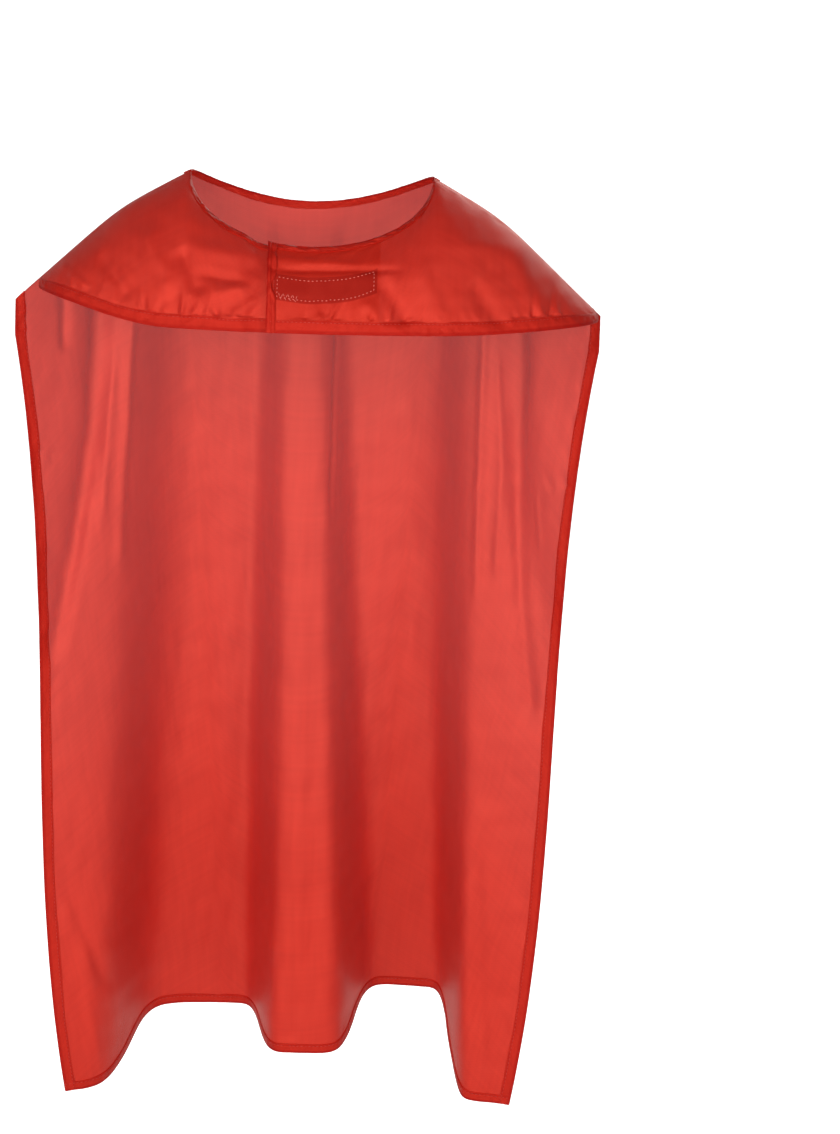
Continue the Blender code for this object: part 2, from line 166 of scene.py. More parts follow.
def satin(name, look):
    # woven satin on a UV map in metres: u runs across the cloth, v down it
    material, shader, wire = newMaterial(name)
    shader["Specular IOR Level"].default_value = look["specular"]
    shader["Specular Tint"].default_value = rgba(look["glossTint"])
    shader["Metallic"].default_value = look["metallic"]
    shader["Sheen Weight"].default_value = look["sheen"]
    shader["Sheen Roughness"].default_value = 0.45
    uv = wire.node("ShaderNodeTexCoord", {}, {}, 2)
    u = wire.node("ShaderNodeSeparateXYZ", {}, {0: uv}, 0)
    v = wire.node("ShaderNodeSeparateXYZ", {}, {0: uv}, 1)
    slubAcross = noiseOn(wire, uv, (260, 14, 1), 3.0)
    slubDown = noiseOn(wire, uv, (14, 260, 1), 3.0)
    cloudy = noiseOn(wire, uv, (16, 16, 1), 2.0)
    grain = noiseOn(wire, uv, (1500, 1500, 1), 1.0)
    twill = ((u + v) * (2 * math.pi / look["twill"])).sine()
    threads = (u * (2 * math.pi / look["pitch"])).sine() * (v * (2 * math.pi / look["pitch"])).sine()
    tone = slubAcross * 0.28 + slubDown * 0.28 + cloudy * 0.30 + grain * 0.14 + twill * 0.02
    color = tone.ramp(0.30, 0.70).mixColors(rgba(look["deep"]), rgba(look["light"]))
    # painted shade: a darker line along the sheet's top fold and along each hem's or roll's outer edge,
    # where the cloth turns edge-on
    if look.get("edge"):
        paintedEdgeShade = 1 - v.ramp(look["edge"] * 0.4, look["edge"])
        color = paintedEdgeShade.mixColors(color, rgba(look["edgeShadeAndSeamColor"]))
    # the darker seam line under a hem's stitches takes the same colour as the painted edge shade
    if look.get("seam"):
        seam = v.ramp(look["seam"] - seamHalf, look["seam"])
        seam = seam * (1 - v.ramp(look["seam"], look["seam"] + seamHalf))
        color = (seam * 0.7).mixColors(color, rgba(look["edgeShadeAndSeamColor"]))
    roughness = slubDown * 0.10 + (look["roughness"] - 0.05)
    if look.get("backed"):
        backed = tapeBehind(wire, v, look["backed"])
        color = (backed * 0.9).mixColors(color, rgba(look["backed"]["color"]))
        roughness = roughness + backed * look["backed"]["dull"]
    link(color, shader["Base Color"])
    link(roughness, shader["Roughness"])
    # painted light: the cloth is made more see-through towards its top, so the white behind lightens the
    # upper cloth as light from above would
    if look["alphaTop"] < 1:
        paintedTopLight = 1 - v.ramp(0.1, 0.6)
        link(look["alphaFoot"] - paintedTopLight * (look["alphaFoot"] - look["alphaTop"]), shader["Alpha"])
    height = threads * 0.30 + slubAcross * 0.5 + slubDown * 0.5 + twill * 0.05
    bump = wire.node("ShaderNodeBump", {}, {"Strength": look["bump"], "Distance": 0.0004, "Height": height})
    link(bump, shader["Normal"])
    return material


def tapeBehind(wire, v, tape):
    # 1 where the closure tape lies against the cloth's back and deepens what shows through
    place = wire.node("ShaderNodeTexCoord", {}, {}, 3)
    x = wire.node("ShaderNodeSeparateXYZ", {}, {0: place}, 0)
    beside = v - x * tape["tilt"] - tape["drop"]
    start, end = tape["x"]
    half, soft = tape["half"], tape["soft"]
    inside = x.ramp(start - soft, start) * (1 - x.ramp(end, end + soft))
    return inside * beside.ramp(-half - soft, -half) * (1 - beside.ramp(half, half + soft))


def noiseOn(wire, place, scale, detail):
    spread = wire.node("ShaderNodeMapping", {}, {"Vector": place, "Scale": scale})
    return wire.node("ShaderNodeTexNoise", {}, {"Vector": spread, "Scale": 1.0, "Detail": detail})


clothLook = {
    "deep": (0.510, 0.011, 0.005),
    "light": (0.600, 0.019, 0.009),
    # the lower alpha at the top lets more white through there: painted light on the upper cloth
    "alphaTop": 0.968,
    "alphaFoot": 0.995,
    "roughness": 0.43,
    "specular": 0.50,
    "metallic": 0.20,
    "glossTint": (1.0, 0.58, 0.38),
    "sheen": 0.0,
    "pitch": 0.0005,
    "twill": 0.0022,
    "bump": 0.25,
    "edge": 0.0016,  # width of the painted shade line along the fold or the edge, where the cloth turns edge-on
    "edgeShadeAndSeamColor": (0.40, 0.002, 0.001),
}
# the hems and rolls carry the painted edge shade too, wider on the hems, and the seam line
hemLook = dict(clothLook, deep=(0.430, 0.007, 0.0035), light=(0.530, 0.014, 0.007), alphaTop=1,
               alphaFoot=1, bump=0.4, specular=0.35, edge=0.0028, edgeShadeAndSeamColor=(0.38, 0.001, 0.0005),
               seam=0.0072)
rollLook = dict(hemLook, deep=(0.41, 0.006, 0.003), light=(0.53, 0.014, 0.007), edge=0.0016, seam=0)
frontLook = dict(clothLook, alphaTop=0.88, alphaFoot=0.88)
overLook = dict(frontLook, backed={"x": (-0.025, 0.048), "drop": 0.0364, "tilt": 0.025, "half": 0.0095,
                                   "soft": 0.0008, "color": (0.36, 0.003, 0.0015), "dull": 0.25})
clothMaterial = satin("sheerSatin", clothLook)
frontMaterial = satin("frontSatin", frontLook)
overMaterial = satin("overFlapSatin", overLook)
hemMaterial = satin("hemSatin", hemLook)
rollMaterial = satin("rolledSatin", rollLook)

threadLook = {
    "hemThread": ((0.40, 0.014, 0.008), (0.54, 0.03, 0.018)),
    "tapeThread": ((0.66, 0.10, 0.075), (0.80, 0.20, 0.16)),
}


def threadMaterial(name):
    dark, light = threadLook[name]
    material, shader, wire = newMaterial(name)
    place = wire.node("ShaderNodeTexCoord", {}, {}, 3)
    ply = wire.node("ShaderNodeTexWave", {"bands_direction": "DIAGONAL"},
                    {"Vector": place, "Scale": 900.0, "Distortion": 0.6})
    link(ply.mixColors(rgba(dark), rgba(light)), shader["Base Color"])
    shader["Roughness"].default_value = 0.55
    bump = wire.node("ShaderNodeBump", {}, {"Strength": 0.4, "Distance": 0.0001, "Height": ply})
    link(bump, shader["Normal"])
    return material


tapeLook = {
    "hookTape": {"deep": (0.40, 0.012, 0.008), "light": (0.50, 0.022, 0.014),
                 "rib": 0.0011, "roughness": 0.62},
    "loopTape": {"deep": (0.42, 0.014, 0.009), "light": (0.54, 0.028, 0.018),
                 "rib": 0.0008, "roughness": 0.85},
}


def tapeMaterial(name):
    look = tapeLook[name]
    material, shader, wire = newMaterial(name)
    uv = wire.node("ShaderNodeTexCoord", {}, {}, 2)
    u = wire.node("ShaderNodeSeparateXYZ", {}, {0: uv}, 0)
    v = wire.node("ShaderNodeSeparateXYZ", {}, {0: uv}, 1)
    ribs = (u * (2 * math.pi / look["rib"])).sine() * (v * (2 * math.pi / look["rib"])).sine()
    fuzz = noiseOn(wire, uv, (900, 900, 1), 3.0)
    tone = ribs * 0.25 + fuzz * 0.8
    link(tone.ramp(0.15, 0.85).mixColors(rgba(look["deep"]), rgba(look["light"])), shader["Base Color"])
    link(fuzz * 0.15 + look["roughness"], shader["Roughness"])
    bump = wire.node("ShaderNodeBump", {}, {"Strength": 0.6, "Distance": 0.0003, "Height": tone})
    link(bump, shader["Normal"])
    return material


hemThreadMaterial = threadMaterial("hemThread")
tapeThreadMaterial = threadMaterial("tapeThread")
hookTapeMaterial = tapeMaterial("hookTape")
loopTapeMaterial = tapeMaterial("loopTape")
print("materials ready")


neck = {
    "half": 0.089,
    "frontReach": 0.060,
    "frontDrop": 0.047,
    "backReach": 0.055,
    "backDrop": 0.026,
    "crowding": 10.0,  # how much closer the columns stand beside the neck's side points
    "crowdWidth": 0.004,
    "easeWidth": 0.007,
    "easeStep": 0.0005,
    "easeStart": 0.016,
}
shoulder = {"ball": 0.140, "ballRound": 0.008, "innerSlope": 0.55, "outerSlope": 0.93, "tip": 0.2155}
front = {
    "reach": 0.090,
    "drop": 0.105,
    "rise": {-1: 0.018, 1: 0.0035},
    "riseStart": 0.100,
    "end": {-1: 0.1955, 1: 0.2110},
    "endRound": 0.0025,
    "overEnd": -0.030,
    "underEnd": 0.050,
    "underDepth": 0.0043,
    "underRamp": 0.016,
    "rows": 112,
    "columns": 250,
}
tail = {
    "reach": 0.062,
    "roundness": 2.2,
    "flattening": 0.62,
    "lean": 0.020,
    "corner": 0.7205,
    "sideLevels": (0.0, 0.36, 0.74, 1.0),
    "sideHalves": (0.2155, 0.1965, 0.1900, 0.1730),
    "grooveDepth": 0.008,
    "grooveTop": 0.153,
    "grooveRun": 0.047,
    "grooveWidth": 0.012,
    "columns": 420,
    "yokeRows": 60,
    "tailRows": 175,
}
# fold walls, right to left: direction, place at top and foot, depth, rounding, rise of the hem across it
foldWalls = (
    (1, -0.117, -0.1285, 0.020, 0.088, 0.014, 0.0135, 0.0375),
    (-1, -0.027, -0.0235, 0.022, 0.082, 0.010, 0.0070, -0.0126),
    (1, 0.020, 0.0510, 0.022, 0.082, 0.010, 0.0100, 0.0320),
    (-1, 0.108, 0.1275, 0.020, 0.088, 0.010, 0.0055, -0.0604),
)


def ridgeHeight(x):
    def bend(at):
        return shoulder["ballRound"] * np.log1p(np.exp((at - shoulder["ball"]) / shoulder["ballRound"]))

    x = np.abs(x)
    steeper = shoulder["outerSlope"] - shoulder["innerSlope"]
    return -shoulder["innerSlope"] * (x - neck["half"]) - steeper * (bend(x) - bend(neck["half"]))


def neckShare(x):
    return np.sqrt(np.maximum(0.0, 1 - (x / neck["half"]) ** 2))


def topEdge(x, way):
    # the neck's edge or the shoulder fold at each x, for the back (way 1) or the front (way -1)
    share = neckShare(x)
    side = np.where(np.abs(x) < neck["half"], 0.0, ridgeHeight(x))
    if way > 0:
        return np.stack([x, neck["backReach"] * share, side - neck["backDrop"] * share ** 2], -1)
    return np.stack([x, -neck["frontReach"] * share, side - neck["frontDrop"] * share], -1)


def columnPlaces(start, end, count):
    # columns from start to end, closer together beside the neck's side points, where its edge turns
    fine = np.linspace(start, end, 4000)
    near = np.abs(np.abs(fine) - neck["half"])
    if abs(start) < shoulder["tip"]:
        near = np.minimum(near, np.abs(fine - start))
    crowd = 1 + neck["crowding"] * np.exp(-((near[1:] / neck["crowdWidth"]) ** 2))
    run = np.concatenate([[0], np.cumsum(crowd)])
    x = np.interp(np.linspace(0, run[-1], count), run, fine)
    for corner in (-neck["half"], neck["half"]):
        if min(start, end) < corner < max(start, end):
            x[np.argmin(np.abs(x - corner))] = corner
    return x


def tailSection(level):
    half = float(np.polyval(np.polyfit(tail["sideLevels"], tail["sideHalves"], 3), level))
    x = np.linspace(-half, half, 1200)
    arc = 1 - np.abs(x / half) ** tail["roundness"]
    y = tail["reach"] * arc * (1 - tail["flattening"] * smooth(level * 1.25)) + tail["lean"] * smooth(level)
    for turn, top, foot, topDepth, footDepth, topRound, footRound, _ in foldWalls:
        at = top + (foot - top) * level
        depth = topDepth + (footDepth - topDepth) * level ** 0.9
        soft = topRound + (footRound - topRound) * level
        y = y + turn * depth * 0.5 * (np.tanh((x - at) / soft) - math.tanh((-half - at) / soft))
    for side in (-1, 1):
        at = side * (tail["grooveTop"] + tail["grooveRun"] * smooth(level * 1.7))
        groove = np.exp(-(((x - at) / tail["grooveWidth"]) ** 2))
        y = y + tail["grooveDepth"] * (1 - smooth(level * 1.6)) * groove
    run = np.concatenate([[0], np.cumsum(np.hypot(np.diff(x), np.diff(y)))])
    return x, y, run


def hemHeight(x):
    z = np.full_like(x, -tail["corner"])
    for _, _, foot, _, _, _, footRound, rise in foldWalls:
        z = z + rise * 0.5 * (1 + np.tanh((x - foot) / footRound))
    return z


def curvesThrough(ends, samples=60):
    # cubic curves, one for each column: ends holds four arrays of points
    t = np.linspace(0, 1, samples)[:, None, None]
    a, b, c, d = ends
    return (1 - t) ** 3 * a + 3 * (1 - t) ** 2 * t * b + 3 * (1 - t) * t * t * c + t ** 3 * d


def spacedRows(curves, shares):
    # points at shares of each column's length, as rows of columns
    steps = np.linalg.norm(np.diff(curves, axis=0), axis=2)
    run = np.concatenate([np.zeros((1, steps.shape[1])), np.cumsum(steps, axis=0)])
    made = np.empty((len(shares), curves.shape[1], 3))
    for column in range(curves.shape[1]):
        at = shares * run[-1, column]
        for axis in range(3):
            made[:, column, axis] = np.interp(at, run[:, column], curves[:, column, axis])
    return made


def easedBelowNeck(points, last=None):
    # evens out the crease that would run down the cloth below each of the neck's side points
    x = points[0, :, 0]
    order = np.argsort(x)
    fine = np.arange(x.min(), x.max(), neck["easeStep"])
    reach = np.arange(-60, 61) * neck["easeStep"] / neck["easeWidth"]
    kernel = np.exp(-(reach ** 2)) / np.exp(-(reach ** 2)).sum()
    eased = points.copy()
    for row in range(1, last or len(points)):
        for axis in (1, 2):
            level = np.interp(fine, x[order], points[row, order, axis])
            soft = np.convolve(np.pad(level, 60, mode="reflect", reflect_type="odd"), kernel, "valid")
            eased[row, :, axis] = np.interp(x, fine, soft)
    near = np.exp(-(((np.abs(x) - neck["half"]) / (4 * neck["easeWidth"])) ** 2))
    weight = near * smooth(lengthsAlong(points, 0) / neck["easeStart"])
    if last:
        weight = weight * (1 - smooth((np.arange(len(points)) / last - 0.6) / 0.4))[:, None]
    return points + (eased - points) * weight[..., None]


def backPoints():
    sectionX, sectionY, run = tailSection(0.0)
    x = columnPlaces(-shoulder["tip"], shoulder["tip"], tail["columns"])
    y = np.interp(x, sectionX, sectionY)
    shares = np.interp(x, sectionX, run) / run[-1]
    top, share = topEdge(x, 1), neckShare(x)
    foot = np.stack([x, y, np.full_like(x, swingLevel)], -1)
    out, down = foot[:, 1] - top[:, 1], top[:, 2] - foot[:, 2]
    first = np.stack([x, top[:, 1] + 0.6 * out, top[:, 2] - 0.35 * down * share], -1)
    second = np.stack([x, foot[:, 1], foot[:, 2] + 0.45 * down], -1)
    rows = [spacedRows(curvesThrough((top, first, second, foot)), np.linspace(0, 1, tail["yokeRows"]))]
    hemX, _, hemRun = tailSection(1.0)
    hem = hemHeight(np.interp(shares * hemRun[-1], hemRun, hemX))
    for level in np.linspace(0, 1, tail["tailRows"] + 1)[1:]:
        sectionX, sectionY, run = tailSection(level)
        x = np.interp(shares * run[-1], run, sectionX)
        y = np.interp(shares * run[-1], run, sectionY)
        rows.append(np.stack([x, y, swingLevel + (hem - swingLevel) * level], -1)[None])
    return easedBelowNeck(np.concatenate(rows), tail["yokeRows"])


def frontCurves(x):
    side = np.where(x < 0, -1, 1)
    share = neckShare(x)
    top = topEdge(x, -1)
    end = np.where(side < 0, front["end"][-1], front["end"][1]) + front["endRound"]
    rise = np.where(side < 0, front["rise"][-1], front["rise"][1])
    roundFront = np.sqrt(np.maximum(0.0, 1 - (x / end) ** 2))
    outward = smooth((np.abs(x) - front["riseStart"]) / (shoulder["tip"] - front["riseStart"]))
    foot = np.stack([x, -front["reach"] * roundFront, -front["drop"] + rise * outward], -1)
    out, down = foot[:, 1] - top[:, 1], top[:, 2] - foot[:, 2]
    first = np.stack([x, top[:, 1] + 0.50 * out, top[:, 2] - (0.06 + 0.16 * share) * down], -1)
    second = np.stack([x, foot[:, 1] - 0.08 * out, foot[:, 2] + 0.42 * down], -1)
    return curvesThrough((top, first, second, foot))


def frontEnd(side):
    return front["end"][side] + 0.95 * front["endRound"]


def frontPlaces(side):
    # the over flap's half (side 1) or the under flap's half (side -1), outer end first
    inner = front["overEnd"] if side > 0 else front["underEnd"]
    return columnPlaces(side * frontEnd(side), inner, front["columns"])


def frontPoints(side):
    x = frontPlaces(side)
    points = easedBelowNeck(spacedRows(frontCurves(x), np.linspace(0, 1, front["rows"])))
    if side < 0:
        rampStart = front["overEnd"] - 0.0048 - front["underRamp"]
        lower = front["underDepth"] * smooth((x - rampStart) / front["underRamp"])
        points = points - outwardNormals(points, -1) * lower[None, :, None]
    return points


def outwardNormals(points, way):
    down = np.gradient(points, axis=0)
    across = np.gradient(points, axis=1)
    normals = unit(np.cross(down, across))
    middle = normals[points.shape[0] // 2, points.shape[1] // 2]
    return normals if middle[1] * way > 0 else -normals


def segmentFold(x, z, fold):
    # a soft ridge along a straight line in the front view, fading at its ends
    x0, z0, x1, z1, width, height = fold
    run = np.array([x1 - x0, z1 - z0])
    length = np.linalg.norm(run)
    run = run / length
    along = (x - x0) * run[0] + (z - z0) * run[1]
    beside = (x - x0) * -run[1] + (z - z0) * run[0]
    fade = smooth(along / (0.3 * length) + 0.5) * smooth((length - along) / (0.3 * length) + 0.5)
    return height * np.exp(-((beside / width) ** 2)) * fade


def ripples(x, z, size, seed, count=14):
    # slow waves in many directions, the same each time
    rng = np.random.default_rng(seed)
    total = np.zeros_like(x)
    for _ in range(count):
        angle, phase = rng.uniform(0, math.pi), rng.uniform(0, 2 * math.pi)
        scale = 2 * math.pi / (size * rng.uniform(0.6, 1.6))
        total += np.sin((x * math.cos(angle) + z * math.sin(angle)) * scale + phase)
    return total / math.sqrt(count)


def puckers(along, above, seed, spacing, length, height):
    # small gathers that a tight seam pulls into the cloth, starting on its stitches
    rng = np.random.default_rng(seed)
    total = np.zeros_like(along)
    for place in np.arange(along.min(), along.max(), spacing):
        at = place + rng.uniform(-0.4, 0.4) * spacing
        lean = rng.uniform(-0.5, 0.5)
        reach = length * rng.uniform(0.5, 1.5)
        wide = spacing * rng.uniform(0.16, 0.30)
        tall = height * rng.uniform(0.3, 1.0) * rng.choice([-1, 1], p=[0.3, 0.7])
        near = smooth(above / 0.002) * np.exp(-np.maximum(above, 0) / reach)
        total += tall * near * np.exp(-(((along - at - lean * above) / (wide * (1 + above / reach))) ** 2))
    return total


def lengthsAlong(points, axis):
    steps = np.linalg.norm(np.diff(points, axis=axis), axis=2)
    start = np.zeros_like(np.take(steps, [0], axis=axis))
    return np.concatenate([start, np.cumsum(steps, axis=axis)], axis=axis)


backFolds = (  # x, z at one end, x, z at the other, half width, height: minus is towards the wearer
    (-0.156, -0.10, -0.160, -0.20, 0.0055, 0.0055),
    (-0.160, -0.20, -0.172, -0.29, 0.0055, 0.0050),
    (-0.172, -0.29, -0.186, -0.37, 0.0060, 0.0040),
    (0.158, -0.10, 0.161, -0.24, 0.0060, 0.0055),
    (0.161, -0.24, 0.166, -0.32, 0.0060, 0.0050),
    (0.166, -0.32, 0.177, -0.41, 0.0065, 0.0040),
    (-0.1316, -0.09, -0.136, -0.21, 0.0034, -0.0028),
    (-0.136, -0.21, -0.139, -0.30, 0.0036, -0.0024),
    (-0.145, -0.15, -0.152, -0.27, 0.0030, -0.0020),
    (0.132, -0.09, 0.133, -0.31, 0.0034, -0.0028),
    (0.143, -0.14, 0.149, -0.22, 0.0030, -0.0020),
    (0.149, -0.22, 0.147, -0.30, 0.0030, -0.0018),
    (-0.181, -0.09, -0.181, -0.135, 0.0036, 0.0030),
    (-0.193, -0.210, -0.203, -0.220, 0.0018, 0.0012),
    (-0.184, -0.212, -0.190, -0.219, 0.0018, 0.0012),
    (0.191, -0.222, 0.202, -0.233, 0.0018, 0.0012),
    (0.181, -0.224, 0.187, -0.233, 0.0018, 0.0012),
    (0.175, -0.236, 0.179, -0.276, 0.0016, -0.0010),
    (0.021, -0.10, 0.0215, -0.26, 0.0017, 0.0018),
    (-0.172, -0.560, -0.142, -0.640, 0.0050, 0.0016),
    (-0.160, -0.600, -0.150, -0.700, 0.0060, -0.0016),
    (0.140, -0.520, 0.150, -0.690, 0.0060, 0.0016),
    (-0.010, -0.14, -0.012, -0.60, 0.0100, 0.0015),
    (0.006, -0.20, 0.020, -0.66, 0.0080, 0.0012),
    (-0.090, -0.12, -0.088, -0.45, 0.0140, 0.0022),
    (-0.050, -0.14, -0.052, -0.50, 0.0120, -0.0018),
    (0.050, -0.13, 0.060, -0.50, 0.0120, -0.0016),
    (0.078, -0.13, 0.084, -0.40, 0.0120, 0.0020),
)

frontFolds = (
    (-0.028, -0.066, -0.070, -0.082, 0.0055, 0.0022),
    (-0.030, -0.078, -0.062, -0.100, 0.0050, 0.0020),
    (-0.030, -0.055, -0.085, -0.050, 0.0065, 0.0018),
    (-0.040, -0.072, -0.080, -0.066, 0.0040, -0.0018),
    (-0.092, -0.052, -0.078, -0.078, 0.0060, -0.0028),
    (-0.120, -0.040, -0.100, -0.080, 0.0090, 0.0022),
    (-0.150, -0.060, -0.130, -0.085, 0.0060, -0.0018),
    (-0.180, -0.070, -0.160, -0.082, 0.0035, 0.0016),
    (-0.026, -0.055, 0.030, -0.058, 0.0035, 0.0012),
    (-0.020, -0.062, 0.060, -0.060, 0.0022, -0.0014),
    (0.052, -0.068, 0.072, -0.096, 0.0070, -0.0026),
    (0.040, -0.082, 0.056, -0.104, 0.0050, 0.0018),
    (0.078, -0.060, 0.100, -0.100, 0.0070, 0.0018),
    (0.118, -0.070, 0.142, -0.100, 0.0080, -0.0026),
    (0.145, -0.050, 0.168, -0.088, 0.0070, 0.0018),
    (0.100, -0.040, 0.160, -0.052, 0.0090, 0.0016),
    (0.010, -0.092, -0.004, -0.108, 0.0040, 0.0016),
)


def swell(points, folds, seed):
    # all of the cloth's large and small unevenness, laid on the smooth shape along its normals
    x, z = points[..., 0], points[..., 2]
    height = 0.0006 * ripples(x, z, 0.060, seed) + 0.0002 * ripples(x, z, 0.018, seed + 1)
    for fold in folds:
        height = height + segmentFold(x, z, fold)
    return height


def tightness(x):
    # the front hem's seam is drawn tighter in some stretches than in others
    share = np.zeros_like(x)
    for start, end in ((-0.120, -0.034), (-0.004, 0.030), (0.038, 0.074), (0.150, 0.185)):
        share = np.maximum(share, smooth((x - start) / 0.012 + 0.5) * smooth((end - x) / 0.012 + 0.5))
    return 0.25 + 0.75 * share


def calmAt(distance, width):
    # 0 on an edge and 1 further in than width, so that creases leave the hems alone
    return smooth(distance / width)


def wavyBack():
    points = backPoints()
    normals = outwardNormals(points, 1)
    downTo = lengthsAlong(points, 0)
    fromLeft = lengthsAlong(points, 1)
    below = downTo[-1][None] - downTo
    toSide = np.minimum(fromLeft, fromLeft[:, -1:] - fromLeft)
    height = swell(points, backFolds, 3) * calmAt(downTo, 0.02)
    hemWidth = 0.0085
    height += puckers(downTo, fromLeft - hemWidth, 21, 0.011, 0.006, 0.0008)
    height += puckers(downTo, fromLeft[:, -1:] - fromLeft - hemWidth, 22, 0.012, 0.006, 0.0008)
    height += puckers(fromLeft, below - 0.007, 23, 0.012, 0.005, 0.0006)
    height = height * smooth(0.25 + toSide / 0.010)
    return points + normals * height[..., None]


def wavyFront(side):
    points = frontPoints(side)
    normals = outwardNormals(points, -1)
    downTo = lengthsAlong(points, 0)
    across = lengthsAlong(points, 1)
    below = downTo[-1][None] - downTo
    share = smooth(downTo[-1][None] / 0.05)
    height = swell(points, frontFolds, 5 + side) * calmAt(downTo, 0.012) * calmAt(below, 0.010)
    height += tightness(points[..., 0]) * puckers(across, below - 0.0095, 31 + side, 0.0085, 0.011, 0.0034)
    height += puckers(across, downTo - 0.005, 41 + side, 0.014, 0.006, 0.0010)
    hidden = smooth((points[..., 0] - front["overEnd"] + 0.012) / 0.010) if side < 0 else 0.0
    return points + normals * (height * share * (1 - 0.85 * hidden))[..., None]


def flatPlaces(points):
    # UV in metres: u across the cloth from its middle line, v down it from its top edge
    across, down = lengthsAlong(points, 1), lengthsAlong(points, 0)
    middle = points.shape[1] // 2
    return np.stack([across - across[:, [middle]], down], -1)


def gridPiece(name, points, flat, material, way):
    rows, columns = points.shape[:2]
    bpy.ops.object.select_all(action="DESELECT")
    bpy.ops.mesh.primitive_grid_add(x_subdivisions=columns - 1, y_subdivisions=rows - 1, size=1)
    piece = bpy.context.object
    piece.name = piece.data.name = name
    mesh = piece.data
    mesh.vertices.foreach_set("co", points.astype(np.float32).ravel())
    corners = np.empty(len(mesh.loops), np.int32)
    mesh.loops.foreach_get("vertex_index", corners)
    mesh.uv_layers.active.data.foreach_set("uv", flat.reshape(-1, 2)[corners].astype(np.float32).ravel())
    mesh.update()
    facing = np.empty(len(mesh.polygons) * 3, np.float32)
    mesh.polygons.foreach_get("normal", facing)
    if facing.reshape(-1, 3)[:, 1].sum() * way < 0:
        mesh.flip_normals()
    mesh.shade_smooth()
    mesh.materials.append(material)
    return piece


def applyAll(piece):
    bpy.ops.object.select_all(action="DESELECT")
    bpy.context.view_layer.objects.active = piece
    piece.select_set(True)
    for modifier in list(piece.modifiers):
        bpy.ops.object.modifier_apply(modifier=modifier.name)


def thicken(piece, thickness, rounding):
    solid = piece.modifiers.new("thickness", "SOLIDIFY")
    solid.thickness = thickness
    solid.offset = 0
    bevel = piece.modifiers.new("roundEdges", "BEVEL")
    bevel.width = rounding
    bevel.segments = 2
    bevel.limit_method = "ANGLE"
    bevel.angle_limit = math.radians(50)
    applyAll(piece)


def insetLines(points, axis, end, width, count, past=0.0003):
    # the grid's lines that start on one edge, each as points at even distances in from that edge
    lines = points if axis == 1 else np.swapaxes(points, 0, 1)
    if end > 0:
        lines = lines[:, ::-1]
    widths = np.broadcast_to(width, len(lines))
    made = np.empty((len(lines), count, 3))
    for i, line in enumerate(lines):
        line = line[:90]
        run = np.concatenate([[0], np.cumsum(np.linalg.norm(np.diff(line, axis=0), axis=1))])
        for k in range(3):
            made[i, :, k] = np.interp(np.linspace(0, widths[i], count), run, line[:, k])
        made[i, 0] -= unit(made[i, 1] - made[i, 0]) * past
    return made


back = wavyBack()
leftFront = wavyFront(1)
rightFront = wavyFront(-1)
hemSizes = {
    "side": 0.0085,
    "bottom": 0.0070,
    "front": 0.0095,
    "neckBack": 0.0056,
    "neckFront": 0.0042,
    "slit": 0.0062,
    "thickness": 0.0011,
    "rounding": 0.0003,
    "stitchInset": 0.0015,
}


def makeSheets():
    return {
        "backCloth": gridPiece("backCloth", back, flatPlaces(back), clothMaterial, 1),
        "leftFrontCloth": gridPiece("leftFrontCloth", leftFront, flatPlaces(leftFront), overMaterial, -1),
        "rightFrontCloth": gridPiece("rightFrontCloth", rightFront, flatPlaces(rightFront),
                                     frontMaterial, -1),
    }


sheets = makeSheets()
print("sheets ready")


def bandNormals(band, way):
    normals = unit(np.cross(np.gradient(band, axis=0), np.gradient(band, axis=1)))
    middle = normals[len(normals) // 2, normals.shape[1] // 2]
    return normals if middle[1] * way > 0 else -normals


def makeBand(name, band, material, way, wave, seed, ridges=0.0):
    # a folded hem: stations along the edge, each with points from the edge inwards
    along = lengthsAlong(band, 0)
    depth = lengthsAlong(band, 1)
    share = np.linspace(0, 1, band.shape[1])[None]
    swells = ripples(along, depth, 0.013, seed) + 0.6 * ripples(along, depth, 0.006, seed + 7)
    height = wave * np.sqrt(np.sin(math.pi * share)) * swells + ridges
    band = band + bandNormals(band, way) * height[..., None]
    flat = np.stack([along, np.broadcast_to(share * hemSizes["side"], along.shape)], -1)
    piece = gridPiece(name, band, flat, material, way)
    thicken(piece, hemSizes["thickness"], hemSizes["rounding"])
    return piece


def evenly(count, width, seed):
    # a hem's width, which a sewing hand holds to within a twentieth
    stations = np.linspace(0, 1, count)
    return width * (1 + 0.05 * ripples(stations, stations * 0, 0.12, seed))


def makeHems():
    made = {}
    for word, end, seed in (("left", 1, 51), ("right", -1, 52)):
        width = evenly(len(back), hemSizes["side"], seed)
        band = insetLines(back, 1, end, width, 7)
        made[word + "SideHem"] = makeBand(word + "SideHem", band, hemMaterial, 1, 0.00022, seed)
    width = evenly(back.shape[1], hemSizes["bottom"], 53)
    bottom = insetLines(back, 0, 1, width, 7)
    made["bottomHem"] = makeBand("bottomHem", bottom, hemMaterial, 1, 0.00022, 53)
    for word, points, seed in (("left", leftFront, 54), ("right", rightFront, 55)):
        width = evenly(points.shape[1], hemSizes["front"], seed)
        width = np.minimum(width, 0.8 * lengthsAlong(points, 0)[-1])  # the cloth runs out at the tips
        band = insetLines(points, 0, 1, width, 9)
        made[word + "FrontHem"] = makeBand(word + "FrontHem", band, hemMaterial, -1, 0.00026, seed)
    return made


hems = makeHems()
print("hems ready")


neckBandLook = {
    "back": {"start": 0.02, "stations": 420, "wave": 0.00030},
    "front": {"stations": 300, "wave": 0.00034},
    "strokes": {"count": 9, "length": 0.016, "width": 0.0008, "height": 0.0005, "lean": 0.16},
}


def neckEdge(way, start, stop, count):
    turn = np.linspace(start, stop, count)
    return topEdge(neck["half"] * np.cos(turn), way)


def nearestOn(tree, points):
    # for each point, the nearest place on a cloth and the cloth's normal there
    found = [tree.find_nearest(Vector(point)) for point in points]
    return np.array([hit[0] for hit in found]), np.array([hit[1] for hit in found])


def treeOf(piece):
    return BVHTree.FromObject(piece, bpy.context.evaluated_depsgraph_get())


